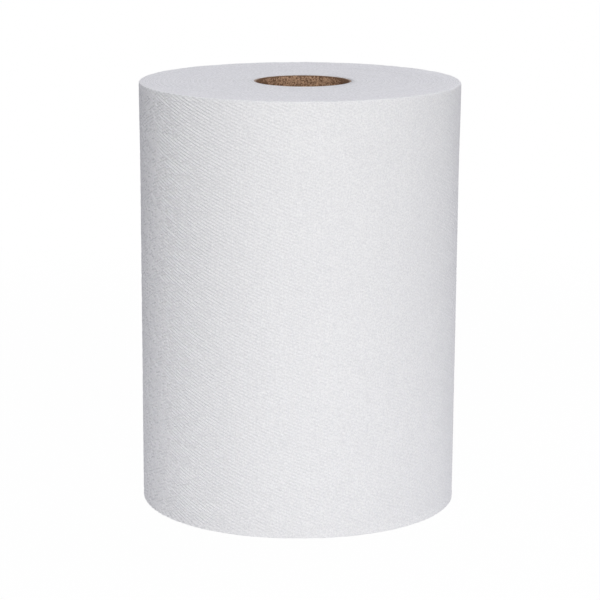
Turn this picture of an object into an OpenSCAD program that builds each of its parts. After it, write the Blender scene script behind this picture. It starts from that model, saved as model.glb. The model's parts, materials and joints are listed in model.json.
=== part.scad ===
// A roll of paper towel wound on a cardboard tube, standing on one end, in millimetres.
// The tube's axis is the Z axis, the roll stands at z = 0, and +Y is the back.

/* [Roll] */
// Outer diameter of the wound sheet
roll_d = 152.4; // [110:0.1:200]
// Height of the roll, which is the width of its sheet
roll_h = 203.2; // [150:0.1:280]
// Radius that softens the outer edge at each end
edge_r = 0.8; // [0.4:0.1:4]
// Step down from the loose end of the sheet, at the back
tail_step = 0.4; // [0.1:0.05:1.2]

/* [Tube] */
// Bore of the cardboard tube
bore_d = 44.4; // [36:0.1:60]
// Wall of the cardboard tube
tube_wall = 1.2; // [0.6:0.1:3]
// Distance from the tube's axis to the middle of the roll
tube_offset = 1.6; // [0:0.1:4]
// How far each end of the tube lies inside the end of the roll
tube_recess = 0.3; // [0:0.1:2]
// Gap between the tube and the first turn, which is wound tight
wind_gap = 0; // [0:0.05:0.3]

/* [Turn lines] */
// Spacing of the spiral line that the turns leave on each end
line_pitch = 2.2; // [1.2:0.1:6]
// Width of the spiral line
line_w = 0.3; // [0.1:0.05:0.6]
// Depth of the spiral line
line_depth = 0.25; // [0.1:0.05:1]
// Plain turns left next to the tube and next to the outer edge
plain_turns = 0.5; // [0.5:0.5:3]

/* [Hidden] */
$fn = 180;
// How far a cut runs past the face that it opens
cut_over = 0.5;
// The spiral line's crossings are whole steps of this, so that its half turns meet exactly
crossing_step = 0.02;

roll_r = roll_d / 2;
tube_r = bore_d / 2 + tube_wall;
hole_r = tube_r + wind_gap;
land_r = roll_r - edge_r;
turns = max(2, round((land_r - hole_r) / line_pitch));

// X where the spiral line crosses the X axis after some half turns. It is to the right of the
// tube after an even number and to the left after an odd one, and it spreads evenly from the
// tube to the edge on each side, so the turns shift over from the tube's axis to the roll's.
function crossing(half_turns) =
    let (side = half_turns % 2 == 0 ? 1 : -1)
    let (reach = land_r - side * tube_offset)
    let (out = hole_r + (reach - hole_r) * half_turns / (2 * turns))
    side * crossing_step * round(out / crossing_step);

// Radial section of the roll from its middle out to r, with both outer edges softened.
module roll_section(r) {
    square([r - edge_r, roll_h]);
    translate([0, edge_r])
        square([r, roll_h - 2 * edge_r]);
    for (z = [edge_r, roll_h - edge_r])
        translate([r - edge_r, z])
            circle(edge_r);
}

// Half a turn of the outside, as a solid half roll about its own centre.
module half_roll(r) {
    rotate_extrude(angle = 180)
        roll_section(r);
}

// The wound body. Its two halves meet smoothly at the front, and their radii and centres differ
// so that the right half ends one step proud of the left half at the back: the sheet's loose end.
module wound_body() {
    rotate([0, 0, -90])
        half_roll(roll_r);
    translate([0, -tail_step / 2, 0])
        rotate([0, 0, 90])
            half_roll(roll_r - tail_step / 2);
}

// One half turn of the spiral line, cut into an end that faces down.
module half_line(from, to, turned) {
    translate([(from + to) / 2, 0, 0])
        rotate([0, 0, turned])
            rotate_extrude(angle = 180)
                translate([(abs(from - to) - line_w) / 2, -cut_over])
                    square([line_w, line_depth + cut_over]);
}

// The whole spiral line, as half turns about centres that alternate from side to side.
module turn_line() {
    for (i = [2 * plain_turns : 2 * (turns - plain_turns) - 1])
        half_line(crossing(i), crossing(i + 1), i % 2 * 180);
}

module paper_roll() {
    color([0.92, 0.92, 0.94])
        difference() {
            translate([-tube_offset, 0, 0])
                wound_body();
            translate([0, 0, -cut_over])
                cylinder(r = hole_r, h = roll_h + 2 * cut_over);
            turn_line();
            translate([0, 0, roll_h])
                mirror([0, 0, 1])
                    turn_line();
        }
}

module core_tube() {
    color([0.62, 0.48, 0.36])
        difference() {
            translate([0, 0, tube_recess])
                cylinder(r = tube_r, h = roll_h - 2 * tube_recess);
            translate([0, 0, -cut_over])
                cylinder(d = bore_d, h = roll_h + 2 * cut_over);
        }
}

paper_roll();
core_tube();
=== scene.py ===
"""Looks of the paper towel roll: the wound sheet, its tube, the ground, the lamps and the camera.

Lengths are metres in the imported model's own frame: the tube's axis is Z, the roll stands at z = 0
and +Y is the back, where the loose end of the sheet lies.
"""
import json
import math

import bpy
import numpy as np
from mathutils import Matrix, Vector, noise


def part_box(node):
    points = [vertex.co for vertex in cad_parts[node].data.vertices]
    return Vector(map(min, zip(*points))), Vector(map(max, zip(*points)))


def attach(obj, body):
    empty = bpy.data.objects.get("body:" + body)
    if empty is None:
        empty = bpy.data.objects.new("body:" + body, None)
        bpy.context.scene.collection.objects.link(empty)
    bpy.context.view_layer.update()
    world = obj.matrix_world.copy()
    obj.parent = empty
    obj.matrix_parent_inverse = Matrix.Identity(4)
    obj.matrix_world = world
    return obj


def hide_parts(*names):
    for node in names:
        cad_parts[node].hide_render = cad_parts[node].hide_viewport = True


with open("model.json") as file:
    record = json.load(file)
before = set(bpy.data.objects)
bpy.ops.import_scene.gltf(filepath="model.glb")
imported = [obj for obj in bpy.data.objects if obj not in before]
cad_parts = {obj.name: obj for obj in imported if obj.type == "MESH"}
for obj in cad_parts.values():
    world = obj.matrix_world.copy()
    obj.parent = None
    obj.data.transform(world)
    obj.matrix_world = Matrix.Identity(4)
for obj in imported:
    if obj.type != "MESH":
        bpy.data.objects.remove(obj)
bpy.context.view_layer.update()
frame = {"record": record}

MM = 0.001
FULL_TURN = 2 * math.pi
TOP, FOOT = 1, -1

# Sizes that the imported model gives
roll_low, roll_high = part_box("paper_roll")
tube_low, tube_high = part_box("core_tube")
ROLL_R = (roll_high.y - roll_low.y) / 2
ROLL_H = roll_high.z
ROLL_X = roll_high.x - ROLL_R
TAIL_STEP = 2 * (ROLL_R - (ROLL_X - roll_low.x))
TUBE_R = tube_high.x
BORE_R = next(m["dims"]["r_mm"] for m in frame["record"]["mounts"] if m["kind"] == "bore") * MM

# The embossed pillows: how often they repeat round the roll and up it, how deep they are, and how
# much flatter they are in some patches
REPEATS_ROUND = 115
REPEATS_UP = 125
PILLOW_DEPTH = 0.193 * MM
PILLOW_FADE = 0.25
PILLOW_FADE_PATCH = 9 * MM
# They are deepest on the front left: by this share more at this angle, and the higher the power,
# the sooner that fades to both sides
PILLOW_DEEPER = 2.35
PILLOW_DEEPER_ANGLE = math.radians(207)
PILLOW_DEEPER_POWER = 6
# Over about this share of the sheet, in patches, they run together into ridges down to the right
RIDGED_SHARE = 0.54
RIDGED_PATCH = 3 * MM
# Broad waves and fine crepe: how deep and how long they are
WAVE_DEPTH = 0.08 * MM
WAVE_LENGTH = 30 * MM
CREPE_DEPTH = 0.05 * MM
CREPE_LENGTH = 1.7 * MM
# The crepe is deeper on the front left too, by this share of what the pillows are
CREPE_DEEPER = 0.5

# The loose end of the sheet: how far it lifts, over what length of the sheet, and over what height
# the lift changes, and then the same for its edge, which wanders round the roll
TAIL_ANGLE = math.pi / 2
TAIL_LIFT = 0.85 * MM
TAIL_LIFT_LENGTH = 14 * MM
TAIL_LIFT_PATCH = 28 * MM
TAIL_WANDER = 0.7 * MM
TAIL_WANDER_LENGTH = 20 * MM
TAIL_WANDER_PATCH = 35 * MM
# The gap under it: its depth, how far it goes in, and how far from each end it has its full size
TAIL_GAP = 0.2 * MM
TAIL_UNDERCUT = 1.3 * MM
TAIL_GAP_START = 4 * MM

# The softened outer edges: their radius, how much more it is at the very right, how narrow that
# stretch is, and how far the radius wanders in short and in long swells
RIM_TOP = 0.6 * MM
RIM_TOP_RIGHT = 0.4 * MM
RIM_FOOT = 0.2 * MM
RIM_FOOT_RIGHT = 1.0 * MM
RIM_RIGHT_POWER = 200
RIM_WANDER = 0.18 * MM
RIM_SHORT_SWELL = 9 * MM
RIM_LONG_SWELL = 25 * MM
RIM_SHORT_SHARE = 0.6
# How many levels of the side an edge takes up, and into how many rows it divides them
RIM_LEVELS = 2
RIM_ROWS = 6
# How far the sheet's uneven cut edge dips below an end's plane, and how long the dips are
NOTCH_TOP_FRONT = 0.24 * MM
NOTCH_TOP_BACK = 0.096 * MM
NOTCH_FOOT = 0.12 * MM
NOTCH_LENGTH = 3.5 * MM

# How far the top lies to the right of the foot
LEAN = 0.46 * MM
# How much wider than its foot the roll is at the top, evenly up it, and the share of its height
# at which it is as wide as the plain roll
SPREAD = 0.4 * MM
SPREAD_FROM = 0.3
# How far the loose outer turns spread besides that, and over what height below the top
TOP_FLARE = 0.35 * MM
TOP_FLARE_HEIGHT = 45 * MM
# How far the foot splays halfway between the front and each side, how much more of it is on the
# right, its share at the back, and its height
FOOT_SPLAY = 0.78 * MM
FOOT_SPLAY_RIGHT = 0.25
FOOT_SPLAY_BACK = 0.3
FOOT_SPLAY_HEIGHT = 3 * MM

# The ends: the plain turns outside, the spiral line that groups of turns leave, and the uneven
# lands between its turns
END_MARGIN = 3.6 * MM
LINE_PITCH = 2.2 * MM
LINE_HALF_SHARE = 0.09
LINE_DEPTH = 0.12 * MM
LINE_PATCH = 11 * MM
LAND_DEPTH = 0.08 * MM
LAND_PATCH = 6 * MM
# How far the lands' noise moves on along the whole spiral, so that no two turns are alike
LAND_TRAVEL = 20.0

# The way along which the seeds of the noise lie apart
SEED_WAY = (1, 0.37, 0.71)
# Clear strip round the unrolled places of a piece, as a share of them
UNROLLED_MARGIN = 0.004


def drift(point, size, seed):
    """Smooth noise from -1 to 1 that changes over about that size. Each seed has its own noise."""
    return noise.noise(Vector(point) / size + Vector([seed * part for part in SEED_WAY]))


def uneven(point, size, seed, middle=0.5, swing=0.5):
    """A share that drifts about its middle by up to the swing."""
    return middle + swing * drift(point, size, seed)


def smooth(share):
    """A share held to 0..1 and eased at both ends."""
    share = min(1.0, max(0.0, share))
    return share * share * (3 - 2 * share)


def cell(column, columns, width, low, high):
    """Unrolled places of one cell of a strip, in the order of a wall face's corners."""
    corners = ((column + 1, low), (column, low), (column, high), (column + 1, high))
    return [(width * step / columns, rise) for step, rise in corners]


class Skin:
    """Points, faces and unrolled places of one closed mesh, gathered part by part."""

    def __init__(self):
        self.points = []
        self.faces = []
        self.slots = []
        self.unrolled = []

    def add(self, points):
        """Adds points and returns their numbers."""
        first = len(self.points)
        self.points.extend(points)
        return list(range(first, len(self.points)))

    def face(self, corners, places, slot):
        """Adds a face, unless it has no area, with the unrolled place of each corner."""
        kept = [k for k, corner in enumerate(corners) if corner != corners[k - 1]]
        if len(kept) > 2:
            self.faces.append([corners[k] for k in kept])
            self.unrolled.extend(places[k] for k in kept)
            self.slots.append(slot)

    def build(self, name, materials, smooth_slots):
        """Makes the piece. The faces of the smooth slots are shaded smooth, the others flat."""
        mesh = bpy.data.meshes.new(name)
        mesh.from_pydata(self.points, [], self.faces)
        for material in materials:
            mesh.materials.append(material)
        mesh.polygons.foreach_set("material_index", self.slots)
        mesh.polygons.foreach_set("use_smooth", [slot in smooth_slots for slot in self.slots])
        places = np.array(self.unrolled)
        places = (places - places.min(0)) / np.ptp(places, axis=0).max()
        places = UNROLLED_MARGIN + (1 - 2 * UNROLLED_MARGIN) * places
        mesh.uv_layers.new(name="OFBake").data.foreach_set("uv", places.ravel())
        mesh.validate()
        piece = bpy.data.objects.new(name, mesh)
        bpy.context.scene.collection.objects.link(piece)
        return piece


# The wound sheet

# Each pillow has two columns and two levels of the side's points, and an end has half the columns
COLUMNS = 2 * REPEATS_ROUND
LEVELS = 2 * REPEATS_UP
LEVEL_H = ROLL_H / LEVELS
RIM_ZONE = RIM_LEVELS * LEVEL_H
END_COLUMNS = REPEATS_ROUND
END_R = ROLL_R - END_MARGIN
TURNS = round((END_R - TUBE_R) / LINE_PITCH)
# Where the rows of an end's grid lie within a turn: the line's bottom, its edges and a land's middle
TURN_SHARES = (0, LINE_HALF_SHARE, 0.5, 1 - LINE_HALF_SHARE)
TURN_ROWS = len(TURN_SHARES)
SIDE_FINISH, END_FINISH = 0, 1

# Unrolled places: the side as one sheet, the ends' middles below it, and the hole's wall as a strip
SHEET_LENGTH = FULL_TURN * ROLL_R
END_PLACES = {TOP: (0.75 * SHEET_LENGTH, -1.15 * ROLL_R), FOOT: (0.25 * SHEET_LENGTH, -1.15 * ROLL_R)}
HOLE_STRIP_FOOT = -2 * ROLL_R
HOLE_STRIP_H = 0.3 * ROLL_R
HOLE_STRIP_W = 0.3 * HOLE_STRIP_H


def outer_radius(turn):
    """Radius of the plain outside at an angle counted on from the loose end."""
    if turn < math.pi:
        return ROLL_R - TAIL_STEP * (1 + math.cos(turn)) / 2
    return ROLL_R


def rim_radius(angle, end):
    """Radius that softens the outer edge there. The edges are rounder on the right."""
    plain, right = (RIM_TOP, RIM_TOP_RIGHT) if end == TOP else (RIM_FOOT, RIM_FOOT_RIGHT)
    edge = (ROLL_R * math.cos(angle), ROLL_R * math.sin(angle), end * ROLL_H)
    wander = RIM_SHORT_SHARE * drift(edge, RIM_SHORT_SWELL, seed=3)
    wander += (1 - RIM_SHORT_SHARE) * drift(edge, RIM_LONG_SWELL, seed=5)
    return plain + right * max(0, math.cos(angle)) ** RIM_RIGHT_POWER + RIM_WANDER * wander


def sway(height):
    """How far the turns at a height lie to the right of those halfway up."""
    return LEAN * (height / ROLL_H - 0.5)


def widening(angle, height):
    """How much wider than the plain roll the outside is there."""
    loose = smooth(1 - (ROLL_H - height) / TOP_FLARE_HEIGHT)
    splay = FOOT_SPLAY * abs(math.sin(2 * angle)) * (1 + FOOT_SPLAY_RIGHT * math.cos(angle))
    splay *= smooth(1 - height / FOOT_SPLAY_HEIGHT)
    if math.sin(angle) > 0:
        splay *= FOOT_SPLAY_BACK
    return SPREAD * (height / ROLL_H - SPREAD_FROM) + TOP_FLARE * loose + splay


def rim_place(radius, row, end):
    """Inset from the outside, height and distance up the unrolled sheet of one row of an edge.
    Row 0 lies in the end's plane, and the row after the last one would lie on the straight side."""
    arc = radius * math.pi / 2
    along = row / RIM_ROWS * (arc + RIM_ZONE - radius)
    if along < arc:
        inset = radius * (1 - math.sin(along / radius))
        rise = radius * (1 - math.cos(along / radius))
    else:
        inset = 0.0
        rise = radius + along - arc
    sheet = RIM_ZONE * row / RIM_ROWS
    return (inset, rise, sheet) if end == FOOT else (inset, ROLL_H - rise, ROLL_H - sheet)


def notch_depth(angle, end):
    """How far the cut edge of the sheet dips below an end's plane there."""
    behind = 0.5 + 0.5 * math.sin(angle)
    notch = NOTCH_FOOT
    if end == TOP:
        notch = NOTCH_TOP_FRONT + (NOTCH_TOP_BACK - NOTCH_TOP_FRONT) * behind
    edge = (ROLL_R * math.cos(angle), ROLL_R * math.sin(angle), end * ROLL_H)
    return notch * smooth(uneven(edge, NOTCH_LENGTH, seed=12, middle=0.35, swing=1.1))


def rim_rows(angle, end):
    """Inset, height and distance up the sheet of an edge's rows at one angle, from the end's plane."""
    notch = notch_depth(angle, end)
    radius = rim_radius(angle, end)
    rows = []
    for row in range(RIM_ROWS):
        inset, height, sheet = rim_place(radius, row, end)
        rows.append((inset, height - end * notch * (1 - row / RIM_ROWS), sheet))
    return rows


def side_profile(angle):
    """Inset, height and distance up the sheet of every row at one angle, from the foot to the top."""
    levels = range(RIM_LEVELS, LEVELS - RIM_LEVELS + 1)
    straight = [(0.0, level * LEVEL_H, level * LEVEL_H) for level in levels]
    return rim_rows(angle, FOOT) + straight + rim_rows(angle, TOP)[::-1]


def tail_shift(turn, height):
    """The angle by which the sheet near its loose end is shifted, so that its edge wanders."""
    from_edge = min(turn, FULL_TURN - turn) * ROLL_R
    wander = TAIL_WANDER * drift((0, 0, height), TAIL_WANDER_PATCH, seed=8)
    return wander / ROLL_R * (1 - smooth(from_edge / TAIL_WANDER_LENGTH))


def tail_lift(turn, height):
    """How far the sheet lifts off towards its loose end."""
    near = smooth(1 - (FULL_TURN - turn) * ROLL_R / TAIL_LIFT_LENGTH)
    return near * TAIL_LIFT * uneven((0, 0, height), TAIL_LIFT_PATCH, seed=11, middle=0.65, swing=0.6)


def relief(spot, angle, column, sheet):
    """How deep the sheet's face lies there: its pillows in staggered rows, its waves and its crepe."""
    pillow = math.cos(math.pi * column) * math.cos(math.pi * sheet / LEVEL_H)
    strength = 1 - PILLOW_FADE * uneven(spot, PILLOW_FADE_PATCH, seed=2)
    deeper = 1 + PILLOW_DEEPER * max(0, math.cos(angle - PILLOW_DEEPER_ANGLE)) ** PILLOW_DEEPER_POWER
    depth = PILLOW_DEPTH * deeper * (0.5 - 0.5 * pillow * strength)
    wave = WAVE_DEPTH * uneven(spot, WAVE_LENGTH, seed=6)
    crepe = CREPE_DEPTH * uneven(spot, CREPE_LENGTH, seed=17, swing=1.0)
    return depth + wave + crepe * (1 + CREPE_DEEPER * (deeper - 1))


def side_point(column, inset, height, sheet):
    """A point of the side. The last column is the loose end, and column 0 lies in under it."""
    turn = FULL_TURN * column / COLUMNS
    angle = TAIL_ANGLE + turn + tail_shift(turn, height)
    radius = outer_radius(turn)
    depth = relief((radius * math.cos(angle), radius * math.sin(angle), height), angle, column, sheet)
    if column == 0:
        share = smooth(min(height, ROLL_H - height) / TAIL_GAP_START)
        depth += TAIL_GAP * share
        angle -= TAIL_UNDERCUT / ROLL_R * share
    reach = radius - inset + widening(angle, height) + tail_lift(turn, height) - depth
    return ROLL_X + sway(height) + reach * math.cos(angle), reach * math.sin(angle), height


def side(skin):
    """The embossed outside with its softened edges. Returns its points' numbers by row and column.
    The diagonals of its faces run in rhombs round the pillows, and all one way where it is ridged."""
    profiles = [side_profile(TAIL_ANGLE + FULL_TURN * column / COLUMNS) for column in range(COLUMNS)]
    profiles.append(profiles[0])
    numbers = []
    ridged = []
    for row in range(len(profiles[0])):
        made = [side_point(column, *profiles[column][row]) for column in range(COLUMNS + 1)]
        numbers.append(skin.add(made))
        share = [uneven(point, RIDGED_PATCH, seed=21, swing=0.9) for point in made]
        ridged.append([value < RIDGED_SHARE for value in share])
    sheet = [place[2] for place in profiles[0]]
    for row in range(len(numbers) - 1):
        for column in range(COLUMNS):
            corners = [(row, column), (row, column + 1), (row + 1, column + 1), (row + 1, column)]
            if ridged[row][column] or (row + column) % 2 == 0:
                corners = corners[1:] + corners[:1]
            for three in (corners[:3], [corners[2], corners[3], corners[0]]):
                places = [(SHEET_LENGTH * c / COLUMNS, sheet[r]) for r, c in three]
                skin.face([numbers[r][c] for r, c in three], places, SIDE_FINISH)
        step = [(row, COLUMNS), (row, 0), (row + 1, 0), (row + 1, COLUMNS)]
        places = [(SHEET_LENGTH + (TAIL_STEP if c == 0 else 0), sheet[r]) for r, c in step]
        skin.face([numbers[r][c] for r, c in step], places, SIDE_FINISH)
    return numbers


def end_point(share, angle, end, depth):
    """A point of an end, at a share of the way from the tube to the last turn. The turns shift over
    evenly from the tube's axis to the roll's."""
    radius = TUBE_R + (END_R - TUBE_R) * share
    height = ROLL_H - depth if end == TOP else depth
    return ROLL_X * share + radius * math.cos(angle), radius * math.sin(angle), height


def grid_point(row, column, end):
    """A point of an end's grid, whose rows follow the spiral line."""
    share = (row // TURN_ROWS + TURN_SHARES[row % TURN_ROWS] + column / END_COLUMNS) / TURNS
    angle = TAIL_ANGLE + FULL_TURN * column / END_COLUMNS
    spot = end_point(share, angle, end, 0)
    depth = LAND_DEPTH * uneven((spot[0], spot[1], LAND_TRAVEL * share), LAND_PATCH, seed=7 * end)
    if row % TURN_ROWS == 0:
        depth += LINE_DEPTH * smooth(uneven(spot, LINE_PATCH, seed=4 * end, middle=0.45, swing=1.2))
    return end_point(share, angle, end, depth)


def end_face(skin, outer, end):
    """One end of the roll: its lands and the spiral line between them, from the outer edge's points
    in to the hole. Returns the numbers of the hole's points."""
    middle = END_PLACES[end]

    def close(corners):
        ring = corners if end == TOP else corners[::-1]
        places = [(middle[0] + skin.points[n][0], middle[1] + skin.points[n][1]) for n in ring]
        skin.face(ring, places, END_FINISH)

    last = TURN_ROWS * (TURNS - 1)
    angles = [TAIL_ANGLE + FULL_TURN * column / END_COLUMNS for column in range(END_COLUMNS)]
    land = skin.add([end_point(1, angle, end, 0) for angle in angles])
    hole = skin.add([end_point(0, angle, end, 0) for angle in angles])
    # The first row starts at the hole. After one turn every row runs into the one a turn further
    # out, and the last rows run into the points of the seam and the plain turns.
    grid = [hole[:1] + skin.add([grid_point(0, column, end) for column in range(1, END_COLUMNS)])]
    for row in range(1, last + 1):
        grid.append(skin.add([grid_point(row, column, end) for column in range(END_COLUMNS)]))
    seam = skin.add([grid_point(last + k, 0, end) for k in range(1, TURN_ROWS)])
    joins = [row[0] for row in grid[TURN_ROWS:]] + seam + land[:1]
    for row, join in zip(grid, joins):
        row.append(join)
    land.append(land[0])
    hole.append(hole[0])

    for c in range(END_COLUMNS):
        close([outer[2 * c], outer[2 * c + 1], land[c]])
        close([outer[2 * c + 1], outer[2 * c + 2], land[c + 1]])
        close([outer[2 * c + 1], land[c + 1], land[c]])
        for inside, outside in zip(grid, grid[1:]):
            close([inside[c], outside[c], outside[c + 1], inside[c + 1]])
        ring = [hole[c], grid[0][c], grid[0][c + 1], hole[c + 1]]
        if c == END_COLUMNS - 1:
            ring[3:3] = [grid[row][0] for row in range(TURN_ROWS - 1, 0, -1)]
        close(ring)
        ring = [grid[last][c], land[c], land[c + 1], grid[last][c + 1]]
        if c == 0:
            ring[1:1] = seam
        close(ring)
    close([outer[COLUMNS], outer[0], land[0]])
    return hole[:-1]


def paper_mesh(materials):
    """The whole wound sheet: its side, its ends and the wall of the hole that the tube fills."""
    skin = Skin()
    rows = side(skin)
    top_hole = end_face(skin, rows[-1], TOP)
    foot_hole = end_face(skin, rows[0], FOOT)
    for column in range(END_COLUMNS):
        after = (column + 1) % END_COLUMNS
        corners = [foot_hole[after], foot_hole[column], top_hole[column], top_hole[after]]
        places = cell(column, END_COLUMNS, HOLE_STRIP_W, HOLE_STRIP_FOOT, HOLE_STRIP_FOOT + HOLE_STRIP_H)
        skin.face(corners, places, END_FINISH)
    return skin.build("paper", materials, {END_FINISH})


# The cardboard tube

TUBE_COLUMNS = 96
TUBE_ROWS = 90
# The clearance that keeps its outside from lying in the sheet's face
TUBE_CLEAR = 0.03 * MM
# The lines between its plies on the cut ends: half their width, and their depth
PLIES = 4
PLY_LINE_HALF = 0.05 * MM
PLY_LINE_DEPTH = 0.09 * MM
# How uneven the cut ends are, and over what length
FUZZ = 0.1 * MM
FUZZ_LENGTH = 1.6 * MM
# The spiral seam in the bore: how far up the tube one turn of it goes, where it starts, its half
# width and its depth, and the column of the tube's points that is its bottom
SEAM_LEAD = 138 * MM
SEAM_START = math.radians(205)
SEAM_HALF = 0.35 * MM
SEAM_DEPTH = 0.14 * MM
SEAM_COLUMN = 1


def tube_angle(column, height):
    """Angle of a column of the tube. The columns follow the seam, and its two edges are the columns
    beside its bottom."""
    narrow = SEAM_HALF / BORE_R
    past = column - SEAM_COLUMN
    if past > 1:
        base = narrow + (past - 1) / (TUBE_COLUMNS - 2) * (FULL_TURN - 2 * narrow)
    else:
        base = past * narrow
    return SEAM_START + base + FULL_TURN * height / SEAM_LEAD


def tube_profile():
    """Radii and heights of the tube's section in four parts: up the bore, out over the top, down
    the outside and in under the foot."""
    ply = (TUBE_R - TUBE_CLEAR - BORE_R) / PLIES
    low, high = tube_low.z, tube_high.z
    heights = [low + (high - low) * row / TUBE_ROWS for row in range(1, TUBE_ROWS)]
    lip = [(BORE_R, 0.0)]
    for k in range(1, PLIES):
        line = BORE_R + k * ply
        lip += [(line - PLY_LINE_HALF, 0.0), (line, PLY_LINE_DEPTH), (line + PLY_LINE_HALF, 0.0)]
    lip.append((BORE_R + PLIES * ply, 0.0))
    bore = [(BORE_R, height) for height in heights]
    top = [(radius, high - depth) for radius, depth in lip]
    outside = [(BORE_R + PLIES * ply, height) for height in heights[::-1]]
    foot = [(radius, low + depth) for radius, depth in lip[::-1]]
    return bore, top, outside, foot


def tube_ring(radius, height, seamed, inward):
    """One ring of the tube's points, sunk at the seam if it is seamed. Inward is 0, or on a cut end
    1 or -1, the way up or down into the tube in which the cut is uneven."""
    ring = []
    for column in range(TUBE_COLUMNS):
        angle = tube_angle(column, height)
        reach = radius + SEAM_DEPTH if seamed and column == SEAM_COLUMN else radius
        x, y = reach * math.cos(angle), reach * math.sin(angle)
        ring.append((x, y, height + inward * FUZZ * uneven((x, y, height), FUZZ_LENGTH, seed=9)))
    return ring


def tube_mesh(materials):
    """The tube, as rings of points that follow its section once round."""
    skin = Skin()
    bore, top, outside, foot = tube_profile()
    rows = []
    travelled = []
    along = 0.0
    before = foot[-1]
    for part, seamed, inward in ((bore, True, 0), (top, False, -1), (outside, False, 0), (foot, False, 1)):
        for radius, height in part:
            along += math.hypot(radius - before[0], height - before[1])
            before = (radius, height)
            travelled.append(along)
            rows.append(skin.add(tube_ring(radius, height, seamed, inward)))
    travelled.append(along + (bore[0][1] - before[1]))
    rows.append(rows[0])
    for r in range(len(rows) - 1):
        for c in range(TUBE_COLUMNS):
            d = (c + 1) % TUBE_COLUMNS
            corners = [rows[r][d], rows[r][c], rows[r + 1][c], rows[r + 1][d]]
            places = cell(c, TUBE_COLUMNS, FULL_TURN * BORE_R, travelled[r], travelled[r + 1])
            skin.face(corners, places, 0)
    return skin.build("tube", materials, {0})


# Materials

class Graph:
    """A material's nodes. Each call adds a node or a few and returns an output."""

    def __init__(self, owner):
        owner.use_nodes = True
        self.tree = owner.node_tree
        self.tree.nodes.clear()

    def add(self, kind, inputs, output=0, **settings):
        """Adds a node. An input is a value or another node's output."""
        node = self.tree.nodes.new(kind)
        for name, value in settings.items():
            setattr(node, name, value)
        for name, value in inputs.items():
            if isinstance(value, bpy.types.NodeSocket):
                self.tree.links.new(value, node.inputs[name])
            else:
                node.inputs[name].default_value = value
        return node.outputs[output]

    def math(self, operation, *values):
        """One sum, product or other function of values."""
        return self.add("ShaderNodeMath", dict(enumerate(values)), operation=operation)

    def total(self, *terms):
        """The sum of values, each with its weight."""
        parts = [self.math("MULTIPLY", value, weight) for value, weight in terms]
        result = parts[0]
        for part in parts[1:]:
            result = self.math("ADD", result, part)
        return result

    def noise(self, where, per_metre, detail, roughness=0.5):
        """Noise from 0 to 1, with so many swells to the metre."""
        return self.add("ShaderNodeTexNoise", {"Vector": where, "Scale": per_metre, "Detail": detail,
                                               "Roughness": roughness})

    def remap(self, value, low, high, to_low=0, to_high=1):
        """Maps a value from low..high to to_low..to_high, held at both ends."""
        return self.add("ShaderNodeMapRange", {0: value, 1: low, 2: high, 3: to_low, 4: to_high})

    def mix(self, share, first, second):
        """A colour that goes from the first one to the second with the share."""
        return self.add("ShaderNodeMix", {0: share, 6: first, 7: second}, output=2, data_type="RGBA")

    def place(self):
        """The point in metres, and its three parts."""
        where = self.add("ShaderNodeTexCoord", {}, output="Object")
        parts = self.tree.nodes.new("ShaderNodeSeparateXYZ")
        self.tree.links.new(where, parts.inputs[0])
        return where, parts.outputs[0], parts.outputs[1], parts.outputs[2]

    def point(self, x, y, z):
        """A point with those parts."""
        return self.add("ShaderNodeCombineXYZ", {0: x, 1: y, 2: z})

    def length(self, point):
        """A point's distance from the middle."""
        return self.add("ShaderNodeVectorMath", {0: point}, output=1, operation="LENGTH")

    def bump(self, height, distance):
        """A normal for a surface that stands up by the height times the distance."""
        return self.add("ShaderNodeBump", {"Height": height, "Distance": distance, "Strength": 1.0})

    def finish(self, shader, kind="ShaderNodeOutputMaterial"):
        """Joins a shader to the output, which ends the material or the world."""
        self.tree.links.new(shader, self.tree.nodes.new(kind).inputs["Surface"])

    def surface(self, colour, roughness, normal, specular, more=None):
        """Ends a material as one surface with those inputs, and more of them where they are given."""
        inputs = {"Base Color": colour, "Roughness": roughness, "Normal": normal,
                  "Specular IOR Level": specular}
        self.finish(self.add("ShaderNodeBsdfPrincipled", inputs | (more or {})))


# The colours between which the sheet, the cut edges of its turns, the board and its cut vary
PAPER_LIGHT = (0.91, 0.91, 0.922, 1)
PAPER_DARK = (0.79, 0.79, 0.812, 1)
CUT_LIGHT = (0.872, 0.872, 0.9, 1)
CUT_DARK = (0.68, 0.68, 0.704, 1)
BOARD_LIGHT = (0.582, 0.37, 0.238, 1)
BOARD_DARK = (0.15, 0.082, 0.046, 1)
BOARD_CUT_LIGHT = (0.45, 0.36, 0.3, 1)
BOARD_CUT_DARK = (0.27, 0.2, 0.16, 1)
WHITE = (1, 1, 1, 1)
# How far the bump of each material stands up
PAPER_BUMP = 0.13 * MM
CUT_BUMP = 0.12 * MM
BOARD_BUMP = 0.1 * MM
# How fine the sheet's crepe is up the roll, and the board's streaks along the winding, as a share
# of how fine they are across
CREPE_STRETCH = 0.12
STREAK_STRETCH = 0.12
# How much of the light passes through the edges of the turns, and how far
CUT_SOFTNESS = 0.35
CUT_SOFTNESS_REACH = 12 * MM
# How many swells of the fine lines on the ends lie in one pitch, and where their middle lies on the
# way from the tube's axis to the roll's
CUT_LINES_A_PITCH = 5.0
CUT_MIDDLE = 0.6 * ROLL_X
# Painted shade on the board: it gets darker far to the left and right, where the bore's sides lie in
# shade, and towards its ends, from the far distance to the near one, where the rim shades it
ASIDE_PAINTED_SHADE = 0.5
ASIDE_POWER = 6.0
LIP_PAINTED_SHADE = 0.2
LIP_NEAR = 0.3 * MM
LIP_FAR = 0.9 * MM
# The greyer cut of the board comes in between these two distances out from the bore
CUT_BOARD_START = 0.15 * MM
CUT_BOARD_FULL = 0.3 * MM


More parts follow.
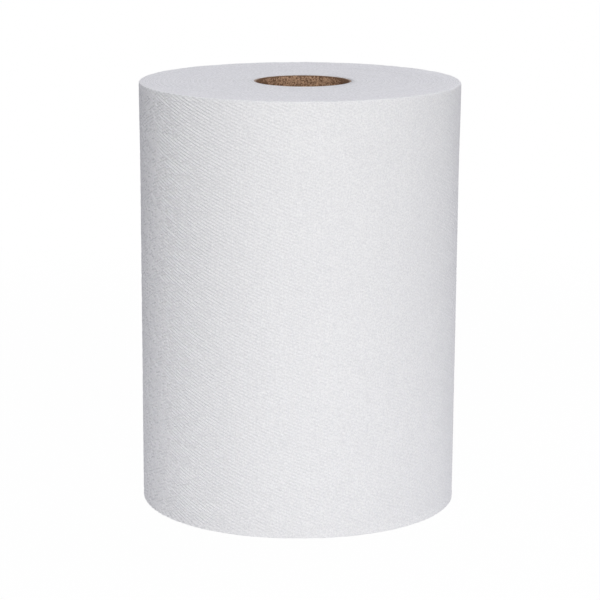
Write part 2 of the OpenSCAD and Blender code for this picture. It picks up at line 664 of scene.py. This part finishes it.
def sheet_finish():
    """Embossed tissue: soft mottling, painted shade that makes the valleys a little darker, fine fibres
    and crepe.
    """
    material = bpy.data.materials.new("sheet")
    g = Graph(material)
    where, x, y, z = g.place()
    angle = g.math("ARCTAN2", y, g.math("SUBTRACT", x, ROLL_X))
    across = g.math("MULTIPLY", g.math("SUBTRACT", angle, TAIL_ANGLE), REPEATS_ROUND)
    up = g.math("MULTIPLY", z, math.pi / LEVEL_H)
    pillow = g.math("MULTIPLY", g.math("COSINE", across), g.math("COSINE", up))
    mottle = g.noise(where, per_metre=60, detail=3)
    fibre = g.noise(where, per_metre=1500, detail=3, roughness=0.6)
    squeezed = g.add("ShaderNodeVectorMath", {0: where, 1: (1, 1, CREPE_STRETCH)}, operation="MULTIPLY")
    crepe = g.noise(squeezed, per_metre=2200, detail=2)
    # The pillow term is painted shade: the valleys between the pillows are a little darker
    tone = g.total((pillow, 0.05), (mottle, 0.1), (fibre, 1.2))
    colour = g.mix(g.remap(tone, low=0.5, high=0.8), PAPER_DARK, PAPER_LIGHT)
    normal = g.bump(g.total((fibre, 0.7), (crepe, 0.5)), PAPER_BUMP)
    rough = g.remap(fibre, low=0.2, high=0.8, to_low=0.86, to_high=0.98)
    g.surface(colour, rough, normal, specular=0.25)
    return material


def cut_finish():
    """Cut edges of the turns: fine uneven spiral lines, each turn a little lighter or darker, and a
    little light that passes through them."""
    material = bpy.data.materials.new("cut_turns")
    g = Graph(material)
    where, x, y = g.place()[:3]
    radius = g.length(g.point(g.math("SUBTRACT", x, CUT_MIDDLE), y, 0.0))
    pitches = g.math("DIVIDE", radius, LINE_PITCH)
    turns = g.math("SUBTRACT", pitches, g.math("DIVIDE", g.math("ARCTAN2", y, x), FULL_TURN))
    lines = g.add("ShaderNodeTexNoise", {"W": g.math("MULTIPLY", turns, CUT_LINES_A_PITCH), "Scale": 1.0,
                                         "Detail": 3.0, "Roughness": 0.65}, noise_dimensions="1D")
    fibre = g.noise(where, per_metre=900, detail=3, roughness=0.6)
    tone = g.total((lines, 0.9), (fibre, 1.2))
    colour = g.mix(g.remap(tone, low=0.865, high=1.265), CUT_DARK, CUT_LIGHT)
    normal = g.bump(g.math("ADD", lines, g.math("MULTIPLY", fibre, 0.3)), CUT_BUMP)
    rough = g.remap(fibre, low=0.2, high=0.8, to_low=0.9, to_high=1.0)
    g.surface(colour, rough, normal, specular=0.2,
              more={"Subsurface Weight": CUT_SOFTNESS, "Subsurface Radius": (1, 1, 1),
                    "Subsurface Scale": CUT_SOFTNESS_REACH})
    return material


def board_finish():
    """Kraft board wound at the seam's angle: streaks along the winding, flecks and a fibrous face, painted
    shade that makes it darker to both sides and at its lips, and a greyer cut."""
    material = bpy.data.materials.new("board")
    g = Graph(material)
    where, x, y, z = g.place()
    angle = g.math("SUBTRACT", g.math("ARCTAN2", y, x), g.math("MULTIPLY", z, FULL_TURN / SEAM_LEAD))
    wound = g.point(g.math("MULTIPLY", g.math("COSINE", angle), BORE_R),
                    g.math("MULTIPLY", g.math("SINE", angle), BORE_R),
                    g.math("MULTIPLY", z, STREAK_STRETCH))
    streak = g.noise(wound, per_metre=900, detail=4, roughness=0.6)
    mottle = g.noise(where, per_metre=260, detail=4, roughness=0.6)
    fleck = g.noise(where, per_metre=1300, detail=2, roughness=0.7)
    tone = g.total((streak, 0.4), (mottle, 0.4), (g.math("SUBTRACT", fleck, 0.5), 1.6))
    # Painted shade far to the left and right, where the bore's sides get little light
    painted_side_shade = g.math("POWER", g.math("ABSOLUTE", g.math("DIVIDE", x, BORE_R)), ASIDE_POWER)
    from_middle = g.math("ABSOLUTE", g.math("SUBTRACT", z, ROLL_H / 2))
    lip_height = tube_high.z - ROLL_H / 2
    # Painted shade just inside both cut ends, where the rim shades the bore
    lip = g.remap(from_middle, low=lip_height - LIP_FAR, high=lip_height - LIP_NEAR, to_high=LIP_PAINTED_SHADE)
    shaded = g.math("SUBTRACT", g.math("SUBTRACT", tone, g.math("MULTIPLY", painted_side_shade, ASIDE_PAINTED_SHADE)), lip)
    face = g.mix(g.remap(shaded, low=0.2, high=0.62), BOARD_DARK, BOARD_LIGHT)
    grey = g.mix(g.remap(tone, low=0.2, high=0.62), BOARD_CUT_DARK, BOARD_CUT_LIGHT)
    radius = g.length(g.point(x, y, 0.0))
    cut = g.remap(radius, low=BORE_R + CUT_BOARD_START, high=BORE_R + CUT_BOARD_FULL)
    normal = g.bump(g.math("ADD", streak, g.math("MULTIPLY", fleck, 0.6)), BOARD_BUMP)
    rough = g.remap(mottle, low=0.3, high=0.7, to_low=0.78, to_high=0.92)
    g.surface(g.mix(cut, face, grey), rough, normal, specular=0.3)
    return material


# The ground, the lamps and the camera

# The length of the ground's sides, and how far it lies under the foot
GROUND_SIZE = 12.0
GROUND_DROP = 0.02 * MM
# The ground lights the roll from a pool of light painted in its colour round it, light near the roll and
# dark farther out, which ends between these two distances
GROUND_POOL = 0.28, 0.65
GROUND_TONE = (0.92, 0.92, 0.93, 1)
GROUND_FAR_TONE = (0.3, 0.3, 0.305, 1)
# The share of plain white in what is seen of the pool. The rest shows the roll's soft shadow.
GROUND_WHITE_SHARE = 0.978
# The light that comes evenly from all round
AMBIENT = (0.338, 0.338, 0.364, 1)


def seen_directly(g, share=1.0):
    """That share where the ray comes from the camera, a mirror or glass, and 0 for the lighting."""
    path = g.tree.nodes.new("ShaderNodeLightPath").outputs
    seen = g.math("MAXIMUM", path["Is Camera Ray"], path["Is Glossy Ray"])
    return g.math("MULTIPLY", g.math("MAXIMUM", seen, path["Is Transmission Ray"]), share)


def ground():
    """A white ground just under the roll."""
    mesh = bpy.data.meshes.new("ground")
    half = GROUND_SIZE / 2
    corners = [(-half, -half), (half, -half), (half, half), (-half, half)]
    mesh.from_pydata([(x, y, -GROUND_DROP) for x, y in corners], [], [(0, 1, 2, 3)])
    material = bpy.data.materials.new("ground")
    g = Graph(material)
    far = g.length(g.place()[0])
    # Painted light: the ground's colour is a light pool round the roll and darker farther out
    tone = g.mix(g.remap(far, *GROUND_POOL), GROUND_TONE, GROUND_FAR_TONE)
    diffuse = g.add("ShaderNodeBsdfDiffuse", {"Color": tone})
    white = g.add("ShaderNodeEmission", {"Color": WHITE, "Strength": 1.0})
    share = g.remap(far, *GROUND_POOL, to_low=GROUND_WHITE_SHARE, to_high=1)
    g.finish(g.add("ShaderNodeMixShader", {0: seen_directly(g, share), 1: diffuse, 2: white}))
    mesh.materials.append(material)
    plane = bpy.data.objects.new("ground", mesh)
    bpy.context.scene.collection.objects.link(plane)


def surroundings():
    """White where they are seen, and an even soft light for everything else."""
    world = bpy.data.worlds.new("surroundings")
    bpy.context.scene.world = world
    g = Graph(world)
    colour = g.mix(seen_directly(g), AMBIENT, WHITE)
    g.finish(g.add("ShaderNodeBackground", {"Color": colour, "Strength": 1.0}), "ShaderNodeOutputWorld")


def soft_lamp(name, bearing, elevation, distance, size, power, tint):
    """A round lamp aimed at the roll. Bearing 0 is in front of it and 90 to its right. Both angles
    are in degrees, the distance and the size in metres and the power in watts."""
    lamp = bpy.data.lights.new(name, "AREA")
    lamp.shape = "DISK"
    lamp.size = size
    lamp.energy = power
    lamp.color = tint
    a, e = math.radians(bearing), math.radians(elevation)
    way = Vector((math.sin(a) * math.cos(e), -math.cos(a) * math.cos(e), math.sin(e)))
    holder = bpy.data.objects.new(name, lamp)
    holder.location = Vector((0, 0, ROLL_H / 2)) + distance * way
    holder.rotation_euler = way.to_track_quat("Z", "Y").to_euler()
    holder.visible_camera = False
    bpy.context.scene.collection.objects.link(holder)


# The camera, as it was fitted to the roll's outline in the photo
CAMERA_PLACE = (ROLL_X - 0.02 * MM, -1.1137, 0.34054)
CAMERA_DOWN = math.radians(12.37)
CAMERA_YAW = math.radians(0.035)
CAMERA_ROLL = math.radians(0.175)
CAMERA_LENS_MM = 140.96
SENSOR_MM = 36.0
# The nearest and the farthest that it sees
CAMERA_SEES = 0.05, 50.0


def camera():
    """The camera in front of the roll and above it, which looks down a little."""
    data = bpy.data.cameras.new("camera")
    data.sensor_width = SENSOR_MM
    data.lens = CAMERA_LENS_MM
    data.clip_start, data.clip_end = CAMERA_SEES
    holder = bpy.data.objects.new("camera", data)
    turn = Matrix.Rotation(-CAMERA_YAW, 4, "Z") @ Matrix.Rotation(math.pi / 2 - CAMERA_DOWN, 4, "X")
    holder.matrix_world = Matrix.Translation(CAMERA_PLACE) @ turn @ Matrix.Rotation(CAMERA_ROLL, 4, "Z")
    bpy.context.scene.collection.objects.link(holder)
    bpy.context.scene.camera = holder


camera()
paper = paper_mesh([sheet_finish(), cut_finish()])
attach(paper, "root")
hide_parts("paper_roll")
tube = tube_mesh([board_finish()])
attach(tube, "root")
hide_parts("core_tube")

ground()
surroundings()
# The key lamp stands in front, two light the back and the upper end, and one fills the right
soft_lamp("key", bearing=6, elevation=26, distance=1.2, size=0.7, power=7.33, tint=(1.0, 0.995, 0.955))
soft_lamp("back", bearing=180, elevation=75, distance=1.9, size=1.1, power=8.2, tint=(0.97, 0.97, 1.0))
soft_lamp("rear", bearing=180, elevation=8, distance=1.9, size=0.8, power=8.0, tint=(0.98, 0.98, 1.0))
soft_lamp("side", bearing=115, elevation=12, distance=1.9, size=1.1, power=4.2, tint=(0.98, 0.98, 1.0))
bpy.context.scene.view_settings.view_transform = "Standard"
